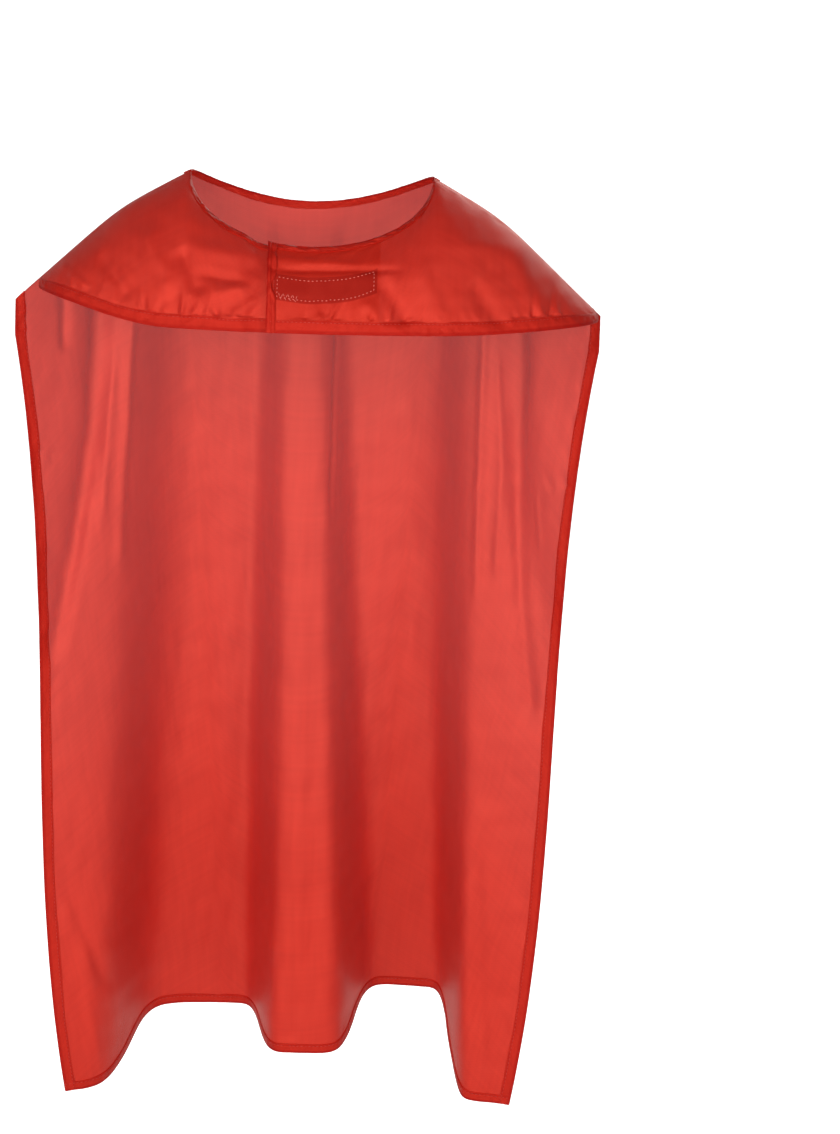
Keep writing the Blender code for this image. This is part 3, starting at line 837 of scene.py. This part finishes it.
def overlappingStrokes(along, share, seed):
    # the band's folded cloth, pushed into short slanting pleats by the seam
    look = neckBandLook["strokes"]
    rng = np.random.default_rng(seed)
    total = np.zeros(np.broadcast(along, share).shape)
    length = along.max()
    for place in rng.uniform(0.05, 0.95, look["count"]) * length:
        slope = look["lean"] * rng.uniform(0.5, 1.3)
        beside = (share - 0.5) * neckBandLook["strokes"]["length"] * 0.3 - (along - place) * slope
        fade = np.exp(-(((along - place) / look["length"]) ** 2))
        total += look["height"] * rng.uniform(0.5, 1) * fade * np.exp(-((beside / look["width"]) ** 2))
    return total


def makeNeckBand(name, cloth, edge, width, way, wave, seed):
    # a narrow doubled band that follows the cloth in from the neck's edge
    tree = treeOf(cloth)
    _, normals = nearestOn(tree, edge + [0, 0, 1e-5])
    inward = unit(np.cross(np.gradient(edge, axis=0), normals))
    outOfNeck = edge * [1, 1, 0] - [0, 0, 0.02]
    inward *= np.sign((inward * outOfNeck).sum(1, keepdims=True))
    widths = evenly(len(edge), width, seed)
    rows = []
    for share in np.linspace(0, 1, 9):
        step = edge + inward * (widths * share)[:, None]
        rows.append(nearestOn(tree, step)[0] if share > 0 else edge - inward * 0.0004)
    band = np.stack(rows, 1)
    strokes = overlappingStrokes(lengthsAlong(band, 0), np.linspace(0, 1, 9)[None], seed)
    return makeBand(name, band, rollMaterial, way, wave, seed, strokes)


def makeNeckBands():
    half = neck["half"]
    start = neckBandLook["back"]["start"]
    backEdge = neckEdge(1, start, math.pi - start, neckBandLook["back"]["stations"])
    count, wave = neckBandLook["front"]["stations"], neckBandLook["front"]["wave"]
    leftEdge = neckEdge(-1, 0, math.acos(front["overEnd"] / half), count)
    rightEdge = neckEdge(-1, math.pi, math.acos(front["underEnd"] / half), count)
    lowered = np.interp(rightEdge[:, 0], frontPlaces(-1), np.arange(front["columns"]))
    underRow = rightFront[0]
    for axis in (1, 2):
        under = np.interp(lowered, np.arange(len(underRow)), underRow[:, axis])
        shift = smooth((rightEdge[:, 0] + 0.060) / 0.010)
        rightEdge[:, axis] += (under - rightEdge[:, axis]) * shift
    return {
        "backNeckBand": makeNeckBand("backNeckBand", sheets["backCloth"], backEdge, hemSizes["neckBack"], 1,
                                     neckBandLook["back"]["wave"], 61),
        "leftNeckBand": makeNeckBand("leftNeckBand", sheets["leftFrontCloth"], leftEdge,
                                     hemSizes["neckFront"], -1, wave, 62),
        "rightNeckBand": makeNeckBand("rightNeckBand", sheets["rightFrontCloth"], rightEdge,
                                      hemSizes["neckFront"], -1, wave, 63),
    }


slitLook = {
    "cross": 0.52,  # how far down the end the twist lies
    "pinch": 0.35,
    "pinchRun": 0.10,
    "strand": 0.0011,
    "strandWidth": 0.17,
    "wave": 0.0003,
}


def makeSlitRoll(name, points, seed):
    # a flap's free end, rolled to a narrow hem that twists over once on its way down
    t = np.linspace(0, 1, len(points))
    crossing = np.exp(-(((t - slitLook["cross"]) / slitLook["pinchRun"]) ** 2))
    widths = hemSizes["slit"] * (1 - slitLook["pinch"] * crossing)
    widths = widths * (1 + 0.06 * ripples(t, t * 0, 0.2, seed))
    band = insetLines(points, 1, 1, widths, 13)
    share = np.linspace(0, 1, 13)[None]
    over = smooth((t - slitLook["cross"] + 0.16) / 0.32)[:, None]
    strands = np.exp(-(((share - 0.16 - 0.62 * over) / slitLook["strandWidth"]) ** 2))
    strands += 0.7 * np.exp(-(((share - 0.84 + 0.62 * over) / slitLook["strandWidth"]) ** 2))
    return makeBand(name, band, rollMaterial, -1, slitLook["wave"], seed, slitLook["strand"] * strands)


bands = makeNeckBands()
bands["overEndRoll"] = makeSlitRoll("overEndRoll", leftFront, 71)
bands["underEndRoll"] = makeSlitRoll("underEndRoll", rightFront, 72)
print("bands ready")


tapeShape = {
    "start": -0.025,
    "length": 0.073,
    "width": 0.019,
    "drop": 0.0364,
    "tilt": 0.025,
    "thickness": 0.0006,
    "edge": 0.0020,
    "hookDepth": 0.00125,
    "loopDepth": 0.00245,
    "hookPitch": 0.0021,
    "hookRadius": 0.00042,
    "wire": 0.00010,
}


def onCloth(points, side, x, distance):
    # a front cloth's places at x and at a distance down from its top edge, and its normals there
    places = frontPlaces(side)
    order = np.argsort(places)
    column = np.interp(x, places[order], order)
    low = np.clip(np.floor(column).astype(int), 0, len(places) - 2)
    lengths = lengthsAlong(points, 0)[-1]
    between = column - low
    length = lengths[low] * (1 - between) + lengths[low + 1] * between
    row = np.clip(distance / length, 0, 1) * (points.shape[0] - 1)
    top = np.clip(np.floor(row).astype(int), 0, points.shape[0] - 2)
    below = (row - top)[..., None]
    between = between[..., None]

    def read(grid):
        left = grid[top, low] * (1 - below) + grid[top + 1, low] * below
        right = grid[top, low + 1] * (1 - below) + grid[top + 1, low + 1] * below
        return left * (1 - between) + right * between

    return read(points), unit(read(outwardNormals(points, -1)))


def tapeGrid(points, side, lift, columns=90, rows=24):
    x = np.linspace(tapeShape["start"], tapeShape["start"] + tapeShape["length"], columns)[None]
    across = np.linspace(-0.5, 0.5, rows)[:, None] * tapeShape["width"]
    x, across = np.broadcast_arrays(x, across)
    place, normal = onCloth(points, side, x, tapeShape["drop"] + tapeShape["tilt"] * x + across)
    return place + normal * lift, normal


def makeTape(name, points, side, lift, material):
    grid, _ = tapeGrid(points, side, lift)
    tape = gridPiece(name, grid, flatPlaces(grid), material, -1)
    thicken(tape, tapeShape["thickness"], 0.00012)
    return tape


def repeatedPiece(name, shape, places, frames, material):
    # many copies of one small shape, joined: frames hold each copy's three directions
    corners = np.array([vertex.co for vertex in shape.data.vertices])
    faces = [tuple(face.vertices) for face in shape.data.polygons]
    bpy.data.objects.remove(shape)
    placed = places[:, None] + np.einsum("nk,mkj->mnj", corners, frames)
    mesh = bpy.data.meshes.new(name)
    every = [tuple(v + i * len(corners) for v in face) for i in range(len(places)) for face in faces]
    mesh.from_pydata(placed.reshape(-1, 3).tolist(), [], every)
    mesh.shade_smooth()
    mesh.materials.append(material)
    piece = bpy.data.objects.new(name, mesh)
    bpy.context.collection.objects.link(piece)
    return piece


def smallHook(cutAway):
    # a ring of wire standing on edge, cut open on one side for a hook and left whole for a loop
    bpy.ops.object.select_all(action="DESELECT")
    bpy.ops.mesh.primitive_torus_add(major_segments=10, minor_segments=4, rotation=(math.pi / 2, 0, 0),
                                     major_radius=tapeShape["hookRadius"], minor_radius=tapeShape["wire"])
    ring = bpy.context.object
    bpy.ops.object.transform_apply(location=False, rotation=True, scale=False)
    if cutAway:
        bpy.ops.object.mode_set(mode="EDIT")
        bpy.ops.mesh.select_all(action="SELECT")
        bpy.ops.mesh.bisect(plane_co=(0.00010, 0, 0), plane_no=(0.8, 0, -0.6), use_fill=True,
                            clear_outer=True)
        bpy.ops.object.mode_set(mode="OBJECT")
    return ring


def makePile(name, points, side, lift, way, cutAway, material, seed):
    # hooks or loops over the tape's face, in the rows that the weaving leaves
    rng = np.random.default_rng(seed)
    inset = tapeShape["edge"] + 0.0012
    start, pitch = tapeShape["start"], tapeShape["hookPitch"]
    x = np.arange(start + inset, start + tapeShape["length"] - inset, pitch)
    across = np.arange(-tapeShape["width"] / 2 + inset, tapeShape["width"] / 2 - inset, pitch)
    x, across = (side.ravel() for side in np.meshgrid(x, across))
    jitter = 0.0 if cutAway else tapeShape["hookPitch"] * 0.45
    x, across = x + rng.uniform(-1, 1, len(x)) * jitter, across + rng.uniform(-1, 1, len(x)) * jitter
    place, normal = onCloth(points, side, x, tapeShape["drop"] + tapeShape["tilt"] * x + across)
    face = normal * way
    turn = rng.uniform(0, 2 * math.pi, len(x)) if not cutAway else rng.choice([0.0, math.pi], len(x))
    flat = unit(np.cross(normal, [0.0, 0.0, 1.0]))
    beside = np.cross(face, flat)
    first = flat * np.cos(turn)[:, None] + beside * np.sin(turn)[:, None]
    frames = np.stack([first, np.cross(face, first), face], 1)
    base = place + normal * lift + face * (tapeShape["thickness"] / 2)
    return repeatedPiece(name, smallHook(cutAway), base, frames, material)


def makeTapes():
    hookLift = -tapeShape["hookDepth"]
    loopLift = front["underDepth"] - tapeShape["loopDepth"]
    return {
        "hookTape": makeTape("hookTape", leftFront, 1, hookLift, hookTapeMaterial),
        "loopTape": makeTape("loopTape", rightFront, -1, loopLift, loopTapeMaterial),
        "tapeHooks": makePile("tapeHooks", leftFront, 1, hookLift, -1, True, hookTapeMaterial, 81),
        "tapeLoops": makePile("tapeLoops", rightFront, -1, loopLift, 1, False, loopTapeMaterial, 82),
    }


tapes = makeTapes()
print("tapes ready")


stitchLook = {
    "hem": {"pitch": 0.0031, "length": 0.0023, "radius": 0.00022},
    "tape": {"pitch": 0.0030, "length": 0.0016, "radius": 0.00032},
    "zigzag": {"pitch": 0.0030, "length": 0.0026, "radius": 0.00024, "throw": 0.0022},
}


def oneStitch(look):
    bpy.ops.object.select_all(action="DESELECT")
    bpy.ops.mesh.primitive_uv_sphere_add(segments=6, ring_count=5, radius=1)
    stitch = bpy.context.object
    stitch.scale = (look["length"] / 2, look["radius"], look["radius"])
    bpy.ops.object.transform_apply(location=False, rotation=False, scale=True)
    return stitch


def evenSteps(path, normals, pitch):
    run = np.concatenate([[0], np.cumsum(np.linalg.norm(np.diff(path, axis=0), axis=1))])
    steps = np.arange(pitch / 2, run[-1], pitch)
    place = np.stack([np.interp(steps, run, path[:, k]) for k in range(3)], 1)
    ahead = np.stack([np.interp(steps + pitch / 4, run, path[:, k]) for k in range(3)], 1)
    behind = np.stack([np.interp(steps - pitch / 4, run, path[:, k]) for k in range(3)], 1)
    normal = unit(np.stack([np.interp(steps, run, normals[:, k]) for k in range(3)], 1))
    return place, unit(ahead - behind), normal


def makeStitches(name, seams, look, lift, material):
    # a seam is a path and its normals: stitches lie along it on both faces, or on one
    places, frames = [], []
    for path, normals, faces in seams:
        place, ahead, normal = evenSteps(path, normals, look["pitch"])
        for face in faces:
            up = normal * face
            side = unit(np.cross(up, ahead))
            places.append(place + up * lift)
            frames.append(np.stack([unit(np.cross(side, up)), side, up], 1))
    return repeatedPiece(name, oneStitch(look), np.concatenate(places), np.concatenate(frames), material)


def hemSeam(points, axis, end, width, way, first=0, last=None):
    # the seam's line a little way in from the hem's inner edge
    lines = insetLines(points, axis, end, width - hemSizes["stitchInset"], 5)
    return lines[first:last, -1], bandNormals(lines, way)[first:last, -1], (1, -1)


def makeHemStitches():
    look = stitchLook["hem"]
    lift = hemSizes["thickness"] / 2 + look["radius"] * 0.3
    tailSeams = [
        hemSeam(back, 1, 1, hemSizes["side"], 1),
        hemSeam(back, 1, -1, hemSizes["side"], 1),
        hemSeam(back, 0, 1, hemSizes["bottom"], 1),
    ]
    made = {"tailStitches": makeStitches("tailStitches", tailSeams, look, lift, hemThreadMaterial)}
    for word, points, first in (("left", leftFront, 12), ("right", rightFront, 12)):
        seams = [
            hemSeam(points, 0, 1, hemSizes["front"], -1, first),
            hemSeam(points, 1, 1, hemSizes["slit"], -1),
        ]
        name = word + "FrontStitches"
        made[name] = makeStitches(name, seams, look, lift, hemThreadMaterial)
    return made


def tapeSeam(points, side, lift, face):
    # a closed line just inside the tape's edge, as path and normals
    edge = tapeShape["edge"]
    start, end = tapeShape["start"] + edge, tapeShape["start"] + tapeShape["length"] - edge
    half = tapeShape["width"] / 2 - edge
    x = np.concatenate([np.linspace(start, end, 60), np.full(20, end), np.linspace(end, start, 60),
                        np.full(20, start)])
    rise = np.linspace(-half, half, 20)
    across = np.concatenate([np.full(60, -half), rise, np.full(60, half), -rise])
    place, normal = onCloth(points, side, x, tapeShape["drop"] + tapeShape["tilt"] * x + across)
    return place + normal * lift, normal, (face,)


def zigzagSeam(points, side, lift, face):
    # the machine's locking zigzag at the tape's end beside the slit
    look = stitchLook["zigzag"]
    start, half = tapeShape["start"] + tapeShape["edge"], tapeShape["width"] / 2 - tapeShape["edge"]
    turns = 9
    x = start + 0.001 + np.arange(turns) * 0.0017
    across = half - look["throw"] * 0.5 + look["throw"] * np.where(np.arange(turns) % 2, 1, -1)
    fine = np.linspace(0, turns - 1, turns * 8)
    x, across = np.interp(fine, np.arange(turns), x), np.interp(fine, np.arange(turns), across)
    place, normal = onCloth(points, side, x, tapeShape["drop"] + tapeShape["tilt"] * x + across)
    return place + normal * lift, normal, (face,)


def makeTapeStitches():
    look, zigzag = stitchLook["tape"], stitchLook["zigzag"]
    over, under = 0.0002, -0.0002
    made = {}
    sides = (("over", leftFront, 1, over, 1), ("under", rightFront, -1, under, -1))
    for word, points, side, lift, face in sides:
        name = word + "TapeStitches"
        made[name] = makeStitches(name, [tapeSeam(points, side, lift, face)], look, 0, tapeThreadMaterial)
        name = word + "LockStitches"
        seam = zigzagSeam(points, side, lift, face)
        made[name] = makeStitches(name, [seam], zigzag, 0, tapeThreadMaterial)
    return made


stitches = makeHemStitches() | makeTapeStitches()
print("stitches ready")

foldBlend = {"outer": flapFold + 0.012, "inner": flapFold - 0.012}

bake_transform(sheets["backCloth"])
for name in ("leftSideHem", "rightSideHem"):
    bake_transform(hems[name])
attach(hems["bottomHem"], "tail")


def blendAtFold(piece, side):
    side * foldBlend["outer"]
    side * foldBlend["inner"]
    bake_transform(piece)


for word, side in (("left", 1), ("right", -1)):
    blendAtFold(sheets[word + "FrontCloth"], side)
    blendAtFold(hems[word + "FrontHem"], side)
    blendAtFold(bands[word + "NeckBand"], side)
    blendAtFold(stitches[word + "FrontStitches"], side)
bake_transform(stitches["tailStitches"])
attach(bands["backNeckBand"], "shoulders")
for piece in (bands["overEndRoll"], tapes["hookTape"], tapes["tapeHooks"], stitches["overTapeStitches"],
              stitches["overLockStitches"]):
    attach(piece, "over_flap")
for piece in (bands["underEndRoll"], tapes["loopTape"], tapes["tapeLoops"], stitches["underTapeStitches"],
              stitches["underLockStitches"]):
    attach(piece, "under_flap")

standsFor = {  # the CAD nodes that each piece shows
    "backCloth": ("back_yoke", "tail_panel"),
    "leftFrontCloth": ("left_front_shoulder", "over_flap_cloth"),
    "rightFrontCloth": ("right_front_shoulder", "under_flap_cloth"),
    "leftSideHem": ("left_side_hem", "left_tip_hem"),
    "rightSideHem": ("right_side_hem", "right_tip_hem"),
    "bottomHem": ("bottom_hem",),
    "leftFrontHem": ("left_shoulder_hem", "over_flap_front_hem"),
    "rightFrontHem": ("right_shoulder_hem", "under_flap_front_hem"),
    "backNeckBand": ("neck_rolled_edge",),
    "leftNeckBand": ("over_flap_neck_roll",),
    "rightNeckBand": ("under_flap_neck_roll",),
    "overEndRoll": ("over_flap_end_roll",),
    "underEndRoll": ("under_flap_end_roll",),
    "hookTape": ("hook_tape",),
    "loopTape": ("loop_tape",),
    "tailStitches": ("tail_hem_thread",),
    "leftFrontStitches": ("left_shoulder_hem_thread", "over_flap_hem_thread"),
    "rightFrontStitches": ("right_shoulder_hem_thread", "under_flap_hem_thread"),
    "overTapeStitches": ("hook_tape_thread",),
    "underTapeStitches": ("loop_tape_thread",),
}
for group in (sheets, hems, bands, tapes, stitches):
    for name, piece in group.items():
        if name in standsFor:
            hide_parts(*standsFor[name])


for name, piece in stitches.items():
    "tape_thread" if "Tape" in name or "Lock" in name else "thread"

stageLook = {
    "floor": -1.02,
    "half": 7.0,
    "height": 5.0,
    "sweep": 1.2,
    "color": (0.82, 0.82, 0.82),
    "glow": 1.1,
    "behind": (0.25, 1.0),  # y at which the floor starts to glow white, and y at which it is white
    "above": (1.2, 3.0),  # z at which the wall behind stops being white, and z at which it is plain
    "plain": 0.22,
}


def makeStage():
    # a floor with one wall behind, swept up from it, and open on every other side
    half = stageLook["half"]
    bpy.ops.object.select_all(action="DESELECT")
    bpy.ops.mesh.primitive_plane_add(size=2 * half, location=(0, 0, stageLook["floor"]))
    bpy.ops.object.transform_apply(location=True, rotation=False, scale=False)
    floor = bpy.context.object
    floor.name = "floor"
    mesh = floor.data
    for part in (*mesh.vertices, *mesh.edges, *mesh.polygons):
        part.select = False
    for edge in mesh.edges:
        edge.select = all(mesh.vertices[i].co.y > half * 0.99 for i in edge.vertices)
    bpy.ops.object.mode_set(mode="EDIT")
    bpy.ops.mesh.select_mode(type="EDGE")
    bpy.ops.mesh.extrude_edges_move(TRANSFORM_OT_translate={"value": (0, 0, stageLook["height"])})
    bpy.ops.object.mode_set(mode="OBJECT")
    sweep = floor.modifiers.new("sweep", "BEVEL")
    sweep.width = stageLook["sweep"]
    sweep.segments = 14
    applyAll(floor)
    mesh.shade_smooth()
    material, shader, wire = newMaterial("paleStage")
    shader["Base Color"].default_value = rgba(stageLook["color"])
    shader["Roughness"].default_value = 0.9
    shader["Specular IOR Level"].default_value = 0.0
    shader["Emission Strength"].default_value = stageLook["glow"]
    place = wire.node("ShaderNodeTexCoord", {}, {}, 3)
    y = wire.node("ShaderNodeSeparateXYZ", {}, {0: place}, 1)
    z = wire.node("ShaderNodeSeparateXYZ", {}, {0: place}, 2)
    seen = wire.node("ShaderNodeLightPath", {}, {}, 0)
    white = y.ramp(*stageLook["behind"]) * (1 - z.ramp(*stageLook["above"])) * seen
    plain = stageLook["plain"]
    link(white.mixColors((plain, plain, plain, 1), (1, 1, 1, 1)), shader["Emission Color"])
    floor.data.materials.append(material)


lights = (  # name, place, size, power
    ("keyLight", (-1.3, -1.9, 0.75), 1.3, 24),
    ("fillLight", (1.4, -1.9, 0.6), 1.3, 18.5),
    ("glossLight", (-0.25, -2.1, -0.12), 1.0, 17),
    ("rearLight", (0.9, 2.6, 1.0), 1.6, 22),
)


def makeLights():
    for name, place, size, power in lights:
        bpy.ops.object.light_add(type="AREA", location=place)
        lamp = bpy.context.object
        lamp.name = name
        lamp.data.size = size
        lamp.data.energy = power
        lamp.visible_camera = False
        toCape = Vector((0, 0, -0.3)) - Vector(place)
        lamp.rotation_euler = toCape.to_track_quat("-Z", "Y").to_euler()
    world = bpy.data.worlds.new("softRoom")
    world.use_nodes = True
    world.node_tree.nodes["Background"].inputs["Color"].default_value = (1, 1, 1, 1)
    # dim for what it lights and pale where it is looked at
    seen = Wire(world.node_tree).node("ShaderNodeLightPath", {}, {}, 0)
    link(seen * 0.62 + 0.19, world.node_tree.nodes["Background"].inputs["Strength"])
    bpy.context.scene.world = world
    bpy.context.scene.view_settings.view_transform = "Standard"


makeStage()
makeLights()
print("stage and lights ready")
